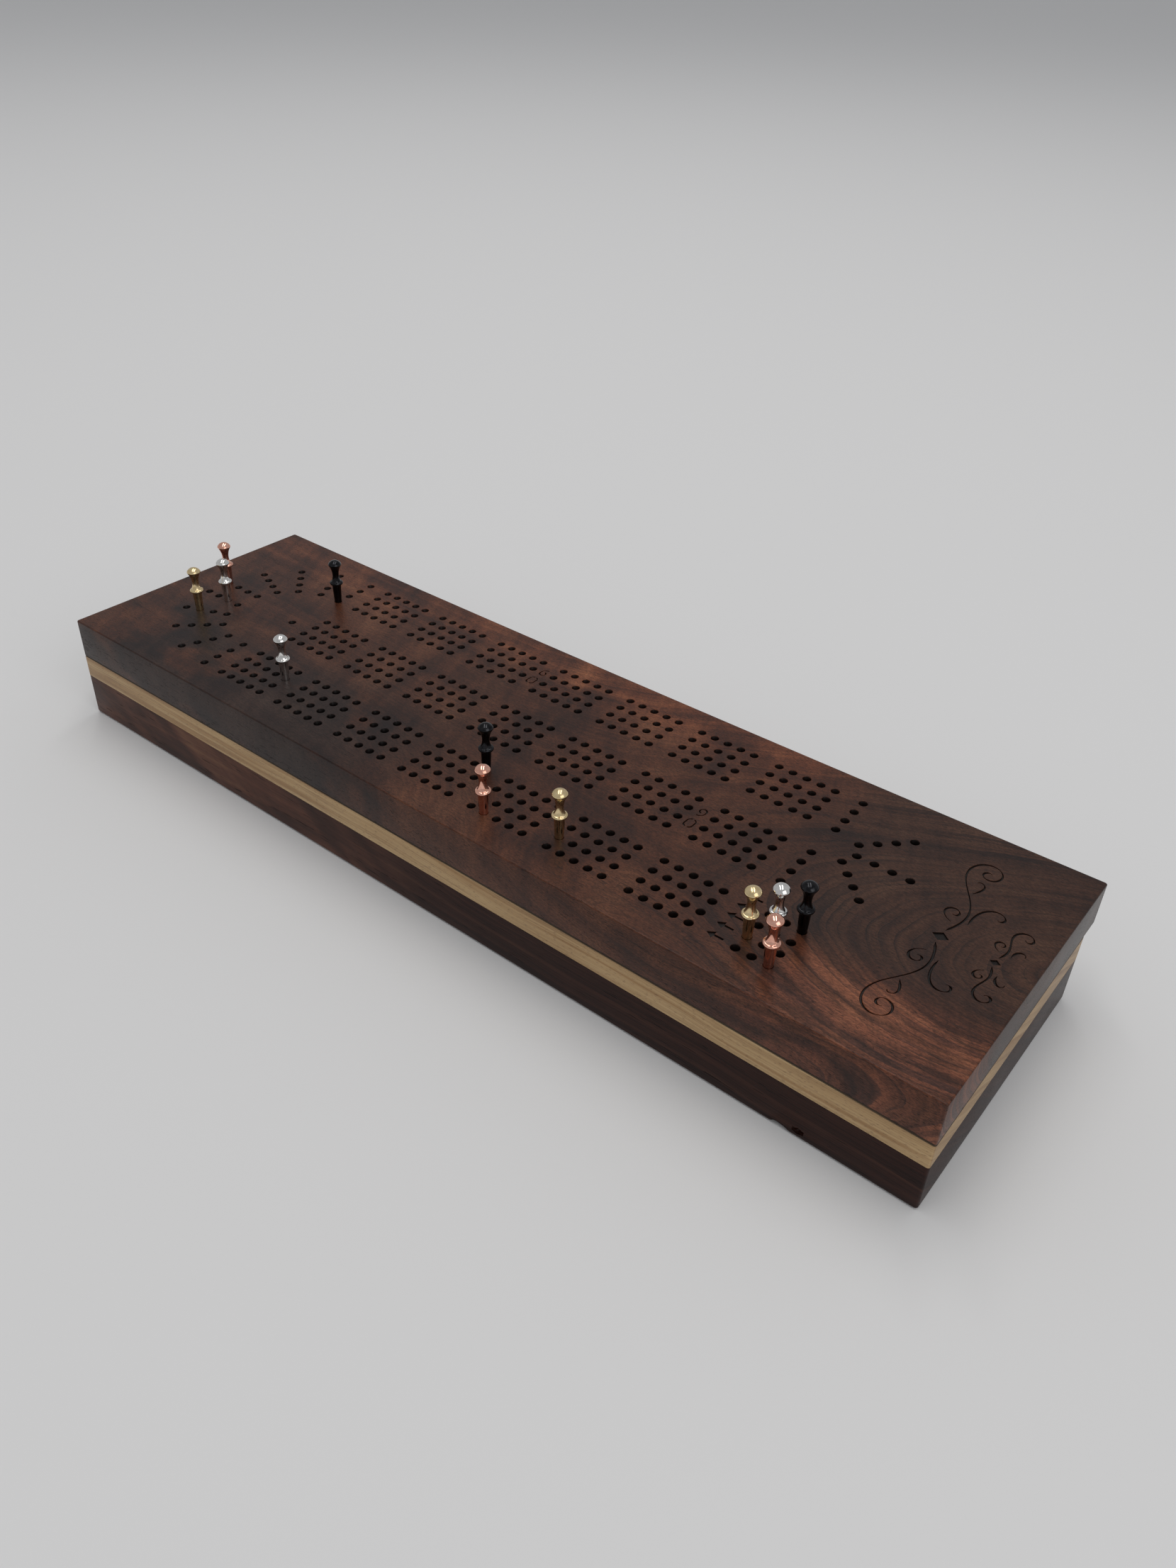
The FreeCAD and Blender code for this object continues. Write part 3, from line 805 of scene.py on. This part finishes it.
def walnut_base():
    material, tree, shader = material_tree("walnut_base")
    x, y, z, coords = place_in_mm(tree)
    rings = straight_rings(tree, y, z, coords, 0.8, 1.0, 16.0)
    slow = line_noise(tree, times(tree, rings, 0.25), 1.0, 2.5)
    fine = grain(tree, vector(tree, times(tree, x, 0.012), times(tree, rings, 1.3), 0.0), 1.0, 3.0, 0.6)
    hair = grain(tree, vector(tree, times(tree, x, 0.05), times(tree, rings, 5.0), 0.0), 1.0, 2.0, 0.6)
    mixed = add(tree, add(tree, times(tree, slow, 0.46), times(tree, fine, 0.38)), times(tree, hair, 0.16))
    blot = grain(tree, stretched(tree, coords, 26.0, 60.0, 60.0), 1.0, 2.5, 0.55)
    lined = step_between(tree, x, -60.0, 30.0, 0.45, 0.95)
    mixed = calc(tree, "MULTIPLY_ADD", minus(tree, mixed, 0.52), lined, 0.53)
    lean = add(tree, times(tree, x, 0.085), times(tree, z, 0.11))
    curl = grain(tree, vector(tree, lean, times(tree, y, 0.03), times(tree, z, 0.03)), 1.0, 2.0)
    blot = add(tree, times(tree, blot, 0.55), times(tree, curl, 0.45))
    soft = times(tree, minus(tree, blot, 0.5), minus(tree, 1.15, lined))
    mixed = calc(tree, "MULTIPLY_ADD", soft, 1.1, mixed)
    colour = ramp(tree, mixed, ((0.30, (0.0085, 0.0032, 0.0027)), (0.45, (0.0190, 0.0070, 0.0054)),
                                (0.56, (0.035, 0.0128, 0.0090)), (0.70, (0.060, 0.0260, 0.0160))))
    warmer = step_between(tree, x, -60.0, 15.0, 1.0, 0.0)
    colour = blend_colour(tree, warmer, colour, (2.65, 2.8, 2.45, 1.0), "MULTIPLY")
    fleck = pores(tree, x, y, z, rings, 9.0, 0.5)
    colour = blend_colour(tree, times(tree, fleck, 0.7), colour, (0.005, 0.003, 0.0027, 1.0))
    colour = end_dark(tree, colour, x, 0.35, (0.6, 0.58, 0.56))
    cloud = grain(tree, stretched(tree, coords, 25.0, 50.0, 50.0), 1.0, 2.0)
    rough = add(tree, calc(tree, "MULTIPLY_ADD", cloud, 0.12, 0.32), times(tree, fleck, 0.2))
    height = minus(tree, times(tree, hair, 0.25), fleck)
    finish_wood(tree, shader, colour, rough, height, 0.035)
    shader.inputs["Specular IOR Level"].default_value = 0.14
    return material


# =============================== metal ========================================================
def turned_metal(name, light, dark, polish, metallic=1.0):
    """Polished turned metal: fine rings left by the tool, faint smears and tiny scratches."""
    material, tree, shader = material_tree(name)
    z, coords = place_in_mm(tree)[2:]
    smear = grain(tree, coords, 700.0, 3.0, 0.6)
    colour = blend_colour(tree, swell(tree, smear, 0.35, 0.68), (*dark, 1.0), (*light, 1.0))
    ring_lines = line_noise(tree, times(tree, z, 9.0), 1.0, 2.0)
    scratch = grain(tree, stretched(tree, coords, 2600.0, 2600.0, 9000.0), 1.0, 2.0)
    rough = calc(tree, "MULTIPLY_ADD", smear, 0.07, polish)
    height = add(tree, times(tree, ring_lines, 0.7), times(tree, scratch, 0.3))
    feed(tree, shader.inputs["Base Color"], colour)
    feed(tree, shader.inputs["Roughness"], rough)
    shader.inputs["Metallic"].default_value = metallic
    bump = put(tree, "Bump", {"Strength": 1.0, "Distance": 0.0006 * MM, "Height": height})
    feed(tree, shader.inputs["Normal"], bump.outputs["Normal"])
    return material


def peg_metals():
    return {
        "copper": turned_metal("peg_copper_metal", (0.95, 0.54, 0.42), (0.83, 0.42, 0.31), 0.09),
        "gold": turned_metal("peg_gold_metal", (0.86, 0.69, 0.41), (0.74, 0.57, 0.31), 0.17),
        "silver": turned_metal("peg_silver_metal", (0.86, 0.85, 0.83), (0.74, 0.73, 0.71), 0.08),
        "black": turned_metal("peg_black_metal", (0.034, 0.034, 0.037), (0.018, 0.018, 0.020), 0.14),
    }


# =============================== wooden pieces ================================================
def at_circle(centre, radius, sides):
    """Outline of a round hole, grown by an amount."""
    return lambda grow: circle_outline(centre, radius + grow, sides)


def at_pocket(x, half):
    return lambda grow: pocket_outline(x, half, grow)


def magnet_places():
    """Centres of the four magnets, read from their nodes."""
    centres = []
    for corner in ("left_front", "left_back", "right_front", "right_back"):
        low, high = box_mm("lid_magnet_" + corner)
        centres.append(((low.x + high.x) / 2, (low.y + high.y) / 2))
    return centres


def storage_pockets():
    return [at_pocket(-CARD_X, CARD_HALF), at_pocket(CARD_X, CARD_HALF),
            at_pocket(0.0, PEG_POCKET_HALF)]


def make_lid(material):
    bm = bmesh.new()

    def outline(inset):
        return slab_outline(LID_LOW, LID_HIGH, inset, CORNER_R, BACK_BOW)

    top, bottom = eased_ring_stack(bm, outline, TOP_Z, LID_LOW.z, LID_EASE, JOINT_EASE)
    mouths = engrave_all(bm)
    for place in hole_places():
        hole = at_circle(place, HOLE_R, HOLE_SIDES)
        mouths.append(blind_hole(bm, hole, HOLE_EASE, TOP_Z, HOLE_DEPTH))
    flat_face(bm, top, mouths)
    seats = [blind_hole(bm, at_circle(place, MAGNET_SEAT_R, MAGNET_SEAT_SIDES), MAGNET_SEAT_EASE,
                        LID_LOW.z, MAGNET_SEAT_DEPTH, 1)
             for place in magnet_places()]
    flat_face(bm, bottom, seats, up=False)
    return new_piece("lid_wood", bm, material, "lid", ("lid_board",))


def make_band(material):
    bm = bmesh.new()

    def outline(inset):
        return slab_outline(BAND_LOW, BAND_HIGH, inset, CORNER_R)

    top, bottom = eased_ring_stack(bm, outline, BAND_HIGH.z, BAND_LOW.z, JOINT_EASE, GLUE_LINE_EASE)
    top_mouths = []
    low_mouths = []
    for pocket in storage_pockets():
        upper, lower = through_hole(bm, pocket, BAND_POCKET_EASE, BAND_HIGH.z, BAND_LOW.z)
        top_mouths.append(upper)
        low_mouths.append(lower)
    for place in magnet_places():
        seat = at_circle(place, MAGNET_SEAT_R, MAGNET_SEAT_SIDES)
        top_mouths.append(blind_hole(bm, seat, MAGNET_SEAT_EASE, BAND_HIGH.z, MAGNET_SEAT_DEPTH))
    flat_face(bm, top, top_mouths)
    flat_face(bm, bottom, low_mouths, up=False)
    return new_piece("band_wood", bm, material, "box", ("light_band",))


def make_tray(material):
    bm = bmesh.new()

    def outline(inset):
        return slab_outline(TRAY_LOW, TRAY_HIGH, inset, max(CORNER_R, FOOT_EASE))

    top, bottom = eased_ring_stack(bm, outline, TRAY_HIGH.z, TRAY_LOW.z, GLUE_LINE_EASE, FOOT_EASE)
    depth = TRAY_HIGH.z - TRAY_FLOOR
    mouths = [blind_hole(bm, pocket, TRAY_POCKET_EASE, TRAY_HIGH.z, depth)
              for pocket in storage_pockets()]
    flat_face(bm, top, mouths)
    flat_face(bm, bottom, [], up=False)
    tray = new_piece("base_wood", bm, material, "box", ("base_tray",))
    for (x, inward, z), half, shape in (KNOT, CHIP):
        carve(tray, lump((x, TRAY_LOW.y + inward, z), half, shape))
    return tray


def lump(centre, half, shape):
    """A small ragged solid for carving a flaw out of a piece."""
    bm = bmesh.new()
    bmesh.ops.create_icosphere(bm, subdivisions=3, radius=1.0)
    for vert in bm.verts:
        push = 1 + 0.35 * noise.noise(vert.co * 1.6 + Vector((shape, shape, shape)))
        point = Vector((vert.co.x * half[0], vert.co.y * half[1], vert.co.z * half[2])) * push
        vert.co = (point + Vector(centre)) * MM
    mesh = bpy.data.meshes.new("flaw")
    bm.to_mesh(mesh)
    bm.free()
    return bpy.data.objects.new("flaw", mesh)


def carve(piece, cutter):
    """Cut one solid out of a piece and drop the cutter."""
    bpy.context.scene.collection.objects.link(cutter)
    cut = piece.modifiers.new("cut", "BOOLEAN")
    cut.operation = "DIFFERENCE"
    cut.solver = "EXACT"
    cut.object = cutter
    bpy.context.view_layer.update()
    depsgraph = bpy.context.evaluated_depsgraph_get()
    carved = bpy.data.meshes.new_from_object(piece.evaluated_get(depsgraph))
    piece.modifiers.clear()
    old = piece.data
    piece.data = carved
    carved.name = old.name + "_carved"
    bpy.data.meshes.remove(old)
    bpy.data.objects.remove(cutter)


# =============================== pegs =========================================================
def shank_r(z):
    return PEG_MOUTH_R + PEG_TAPER * z


def waist_curve(r_end, z_end, steps):
    """Arc that leaves the waist upright and ends at (r_end, z_end), waist first."""
    rise = abs(z_end - WAIST_Z)
    out = r_end - WAIST_R
    radius = (out * out + rise * rise) / (2 * out)
    full = math.asin(rise / radius)
    way = 1 if z_end > WAIST_Z else -1
    points = []
    for i in range(steps + 1):
        angle = full * i / steps
        points.append((WAIST_R + radius * (1 - math.cos(angle)),
                       WAIST_Z + way * radius * math.sin(angle)))
    return points


def peg_profile():
    """Radius and height above the lid, from the tip up to the crown."""
    points = [(shank_r(PEG_TIP_Z) - TIP_EASE + TIP_EASE * math.sin(a),
               PEG_TIP_Z + TIP_EASE * (1 - math.cos(a)))
              for a in (math.pi / 2 * i / 4 for i in range(5))]
    points += [(shank_r(z), z) for z in (-6.0, -2.0, -0.2, 2.0, 5.0, SHANK_TOP_Z - 0.12)]
    points.append((shank_r(SHANK_TOP_Z) + 0.02, SHANK_TOP_Z))
    rise = COLLAR_HALF
    bulge = COLLAR_R - COLLAR_ROOT_R
    radius = (bulge * bulge + rise * rise) / (2 * bulge)
    sweep = math.degrees(math.asin(rise / radius))
    if bulge > rise:
        sweep = 180 - sweep
    points += arc_points((COLLAR_R - radius, COLLAR_Z), radius, -sweep, sweep, 14)
    points += waist_curve(COLLAR_ROOT_R, COLLAR_Z + COLLAR_HALF, 10)[::-1][1:]
    points += waist_curve(RIM_R, RIM_Z, 16)[1:-1]
    points += [(RIM_R - 0.07, RIM_Z - 0.03), (RIM_R, RIM_Z + 0.06), (RIM_R, RIM_Z + RIM_THICK - 0.06)]
    low = RIM_Z + RIM_THICK
    rise = PEG_TOP_Z - low
    radius = (RIM_R * RIM_R + rise * rise) / (2 * rise)
    sweep = math.degrees(math.asin(RIM_R / radius))
    dome = arc_points((0.0, PEG_TOP_Z - radius), radius, 90 - sweep, 90, 16)
    points += [(r, z) for r, z in dome[1:-1]]
    return points


def make_peg(name, material):
    low, high = box_mm(name)
    x, y = (low.x + high.x) / 2, (low.y + high.y) / 2
    bm = bmesh.new()
    rings = [ring(bm, circle_outline((x, y), r, PEG_SIDES), TOP_Z + z) for r, z in peg_profile()]
    for lower, upper in zip(rings, rings[1:]):
        skin(bm, upper, lower)
    crown = bm.verts.new((x, y, TOP_Z + PEG_TOP_Z))
    for i in range(PEG_SIDES):
        bm.faces.new((crown, rings[-1][i], rings[-1][(i + 1) % PEG_SIDES])).smooth = True
    bm.faces.new(rings[0][::-1]).smooth = False
    return new_piece(name + "_metal", bm, material, name, (name,))


# =============================== magnets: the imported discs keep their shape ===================
def dress_magnets(material):
    for node in bpy.data.objects:
        if node.type == "MESH" and "_magnet_" in node.name:
            node.data.materials.clear()
            node.data.materials.append(material)


# =============================== floor, light and camera (metres) =============================
FLOOR_HALF = 14.0
FLOOR_Z = -0.0002


def floor_material():
    """Plain pale paper: one colour all over, with a faint tooth."""
    material, tree, shader = material_tree("pale_floor")
    coords = put(tree, "TexCoord").outputs["Object"]
    tooth = grain(tree, coords, 900.0, 2.0)
    shader.inputs["Base Color"].default_value = (0.755, 0.755, 0.758, 1.0)
    shader.inputs["Roughness"].default_value = 0.85
    shader.inputs["Specular IOR Level"].default_value = 0.15
    bump = put(tree, "Bump", {"Strength": 0.5, "Distance": 0.00003, "Height": tooth})
    feed(tree, shader.inputs["Normal"], bump.outputs["Normal"])
    return material


def make_floor():
    bm = bmesh.new()
    signs = ((-1, -1), (1, -1), (1, 1), (-1, 1))
    bm.faces.new([bm.verts.new((sx * FLOOR_HALF, sy * FLOOR_HALF, FLOOR_Z)) for sx, sy in signs])
    mesh = bpy.data.meshes.new("floor")
    bm.to_mesh(mesh)
    bm.free()
    floor = bpy.data.objects.new("floor", mesh)
    bpy.context.scene.collection.objects.link(floor)
    mesh.materials.append(floor_material())


def aim(thing, target, up=(0.0, 0.0, 1.0)):
    """Turn a light or a camera to look at a point."""
    back = (thing.location - Vector(target)).normalized()
    right = Vector(up).cross(back).normalized()
    true_up = back.cross(right)
    turn = Matrix((right, true_up, back)).transposed()
    thing.rotation_euler = turn.to_euler()


def panel(name, place, target, size, power, colour, up=(0.0, 0.0, 1.0)):
    light = bpy.data.lights.new(name, "AREA")
    light.shape = "RECTANGLE"
    light.size, light.size_y = size
    light.energy = power
    light.color = colour
    lamp = bpy.data.objects.new(name, light)
    lamp.location = place
    bpy.context.scene.collection.objects.link(lamp)
    aim(lamp, target, up)


CAMERA_PLACE = Vector((0.2571, -0.2926, 0.3034))
CAMERA_AIM = Vector((-0.49548, 0.64308, -0.58390))
CAMERA_RIGHT = Vector((0.7788, 0.6266, 0.0292))
CAMERA_LENS = 28.125
CAMERA_SENSOR = 36.0


def make_lights():
    ahead = Vector((CAMERA_AIM.x, CAMERA_AIM.y, 0)).normalized()
    side = Vector((ahead.y, -ahead.x, 0))
    middle = Vector((0.0, 0.05, 0.0))
    for name, shift in (("strip_left", -0.55), ("strip_right", 0.40)):
        place = middle + side * shift + ahead * 0.5 + Vector((0, 0, 2.4))
        below = Vector((place.x, place.y, 0))
        panel(name, place, below, (0.26, 2.6), 11.0, (1.0, 0.985, 0.96), ahead)
    panel("window_right", (2.1, -0.6, 1.5), (0.05, 0.0, 0.0), (1.8, 1.6), 11.5, (1.0, 0.985, 0.97))
    world = bpy.data.worlds.new("room")
    world.use_nodes = True
    sky = world.node_tree.nodes["Background"]
    sky.inputs["Color"].default_value = (0.97, 0.98, 1.0, 1.0)
    sky.inputs["Strength"].default_value = 0.42
    bpy.context.scene.world = world


def make_camera():
    data = bpy.data.cameras.new("camera")
    data.lens = CAMERA_LENS
    data.sensor_width = CAMERA_SENSOR
    data.clip_start = 0.01
    camera = bpy.data.objects.new("camera", data)
    camera.location = CAMERA_PLACE
    back = -CAMERA_AIM.normalized()
    right = (CAMERA_RIGHT - CAMERA_RIGHT.dot(back) * back).normalized()
    up = back.cross(right)
    camera.rotation_euler = Matrix((right, up, back)).transposed().to_euler()
    bpy.context.scene.collection.objects.link(camera)
    bpy.context.scene.camera = camera


# =============================== the whole scene ==============================================
make_lid(walnut_lid())
make_band(maple_band())
make_tray(walnut_base())
metals = peg_metals()
for colour in PEG_COLOURS:
    for place in PEG_PLACES:
        make_peg("peg_" + colour + "_" + place, metals[colour])
dress_magnets(turned_metal("magnet_nickel_metal", (0.72, 0.71, 0.68), (0.52, 0.51, 0.49), 0.16))
make_floor()
make_lights()
make_camera()
bpy.context.scene.view_settings.view_transform = "Standard"
